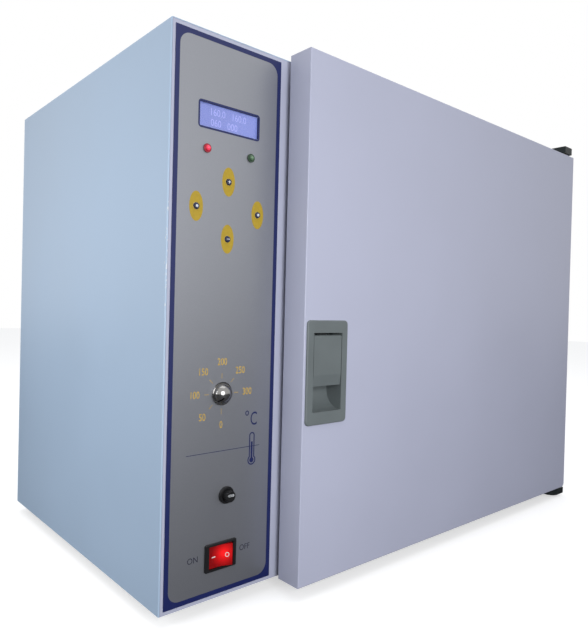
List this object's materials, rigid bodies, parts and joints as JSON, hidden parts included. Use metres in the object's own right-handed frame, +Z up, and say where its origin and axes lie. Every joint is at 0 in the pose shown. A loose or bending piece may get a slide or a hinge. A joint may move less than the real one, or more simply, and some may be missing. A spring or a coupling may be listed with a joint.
{
  "type": "hot air sterilizer",
  "caption": "Bench-top hot-air sterilizer: box cabinet with a control column on the left, an insulated chamber with wire shelves, and a wide latched door hinged on the right.",
  "frame": {"origin": "on the bench, under the middle of the whole part's length and width", "axes": "+X to the right as seen from the front, +Y from the front to the back, +Z up"},
  "size_m": [0.64, 0.4454, 0.5063],
  "materials": {
    "cabinet_paint": "satin",
    "door_paint": "satin",
    "overlay_plate": "satin",
    "galvanised": "matte",
    "stainless": "satin",
    "shelf_wire": "polished",
    "heater_sheath": "matte",
    "sensor_sheath": "satin",
    "mineral_wool": "matte",
    "silicone": "matte",
    "screws": "satin",
    "black_iron": "satin",
    "bright_steel": "satin",
    "bush_bronze": "satin",
    "latch_plastic": "matte",
    "foot_rubber": "matte",
    "display_glass": "gloss",
    "display_lit": "matte",
    "lamp_red": "gloss",
    "lamp_green": "gloss",
    "button_caps": "satin",
    "circuit_board": "satin",
    "thermostat_case": "satin",
    "dial_chrome": "polished",
    "black_plastic": "satin",
    "fuse_glass": "gloss",
    "rocker_red": "gloss"
  },
  "bodies": {
    "cabinet": {"outer_shell": "cabinet_paint", "base_pan": "galvanised", "rear_panel": "cabinet_paint", "front_frame": "door_paint", "control_overlay": "overlay_plate", "compartment_wall": "galvanised", "chamber_liner": "stainless", "liner_insulation": "mineral_wool", "chamber_floor_plate": "stainless", "heating_element": "heater_sheath", "shelf_runner_left": "stainless", "shelf_runner_right": "stainless", "vent_duct": "stainless", "temperature_probe": "sensor_sheath", "safety_bulb": "sensor_sheath", "display_window": "display_glass", "display_module": "display_lit", "red_lamp": "lamp_red", "green_lamp": "lamp_green", "button_board": "circuit_board", "thermostat_body": "thermostat_case", "fuse_holder": "black_plastic", "switch_housing": "black_plastic", "controller_board": "circuit_board", "power_relay": "black_plastic", "power_inlet": "black_plastic", "rubber_feet": "foot_rubber", "foot_screws": "screws", "upper_hinge_bracket": "black_iron", "lower_hinge_bracket": "black_iron", "upper_hinge_pin": "bright_steel", "lower_hinge_pin": "bright_steel", "hinge_screws": "black_iron", "rear_screws": "screws", "latch_keeper": "bright_steel"},
    "door": {"door_outer_panel": "door_paint", "door_inner_panel": "stainless", "door_insulation": "mineral_wool", "door_gasket": "silicone", "door_screws": "screws", "upper_hinge_bush": "bush_bronze", "lower_hinge_bush": "bush_bronze", "upper_hinge_block": "galvanised", "lower_hinge_block": "galvanised", "latch_housing": "latch_plastic", "latch_pin": "bright_steel", "latch_spring": "bright_steel"},
    "latch": {"latch_flap": "latch_plastic", "latch_hook": "bright_steel"},
    "button_up": {"button_up": "button_caps"},
    "button_down": {"button_down": "button_caps"},
    "button_left": {"button_left": "button_caps"},
    "button_right": {"button_right": "button_caps"},
    "rocker": {"switch_rocker": "rocker_red"},
    "dial": {"thermostat_dial": "dial_chrome"},
    "fuse": {"fuse_cartridge": "fuse_glass"},
    "fuse_cap": {"fuse_cap": "black_plastic"},
    "upper_shelf": {"upper_shelf": "shelf_wire"},
    "lower_shelf": {"lower_shelf": "shelf_wire"},
    "vent_flap": {"vent_flap": "stainless"}
  },
  "joints": [
    {"name": "door_swing", "type": "hinge", "parent": "cabinet", "child": "door", "pos_m": [0.307, -0.2065, 0.253], "axis": [0, 0, 1], "range_deg": [0, 180]},
    {"name": "latch_pull", "type": "hinge", "parent": "door", "child": "latch", "pos_m": [-0.173, -0.21535, 0.2365], "axis": [-1, 0, 0], "range_deg": [0, 18], "stiffness_Nm_per_rad": 0.15, "springref_deg": -11.46},
    {"name": "button_up_press", "type": "slide", "parent": "cabinet", "child": "button_up", "axis": [0, 1, 0], "range_m": [0, 0.001], "stiffness_N_per_m": 500, "springref_m": -0.001},
    {"name": "button_down_press", "type": "slide", "parent": "cabinet", "child": "button_down", "axis": [0, 1, 0], "range_m": [0, 0.001], "stiffness_N_per_m": 500, "springref_m": -0.001},
    {"name": "button_left_press", "type": "slide", "parent": "cabinet", "child": "button_left", "axis": [0, 1, 0], "range_m": [0, 0.001], "stiffness_N_per_m": 500, "springref_m": -0.001},
    {"name": "button_right_press", "type": "slide", "parent": "cabinet", "child": "button_right", "axis": [0, 1, 0], "range_m": [0, 0.001], "stiffness_N_per_m": 500, "springref_m": -0.001},
    {"name": "power_rocker", "type": "hinge", "parent": "cabinet", "child": "rocker", "pos_m": [-0.262, -0.18375, 0.0482], "axis": [0, 0, 1], "range_deg": [0, 20]},
    {"name": "thermostat_turn", "type": "hinge", "parent": "cabinet", "child": "dial", "pos_m": [-0.2643, -0.18675, 0.188], "axis": [0, 1, 0], "range_deg": [-45, 225]},
    {"name": "fuse_pull", "type": "slide", "parent": "cabinet", "child": "fuse", "axis": [0, -1, 0], "range_m": [0, 0.03]},
    {"name": "fuse_cap_turn", "type": "hinge", "parent": "fuse", "child": "fuse_cap", "pos_m": [-0.2576, -0.18675, 0.0997], "axis": [0, 1, 0], "range_deg": [-90, 0]},
    {"name": "upper_shelf_slide", "type": "slide", "parent": "cabinet", "child": "upper_shelf", "axis": [0, -1, 0], "range_m": [0, 0.008]},
    {"name": "lower_shelf_slide", "type": "slide", "parent": "cabinet", "child": "lower_shelf", "axis": [0, -1, 0], "range_m": [0, 0.008]},
    {"name": "vent_turn", "type": "hinge", "parent": "cabinet", "child": "vent_flap", "pos_m": [0.06075, 0.19075, 0.397], "axis": [0, 0, 1], "range_deg": [0, 90]}
  ]
}
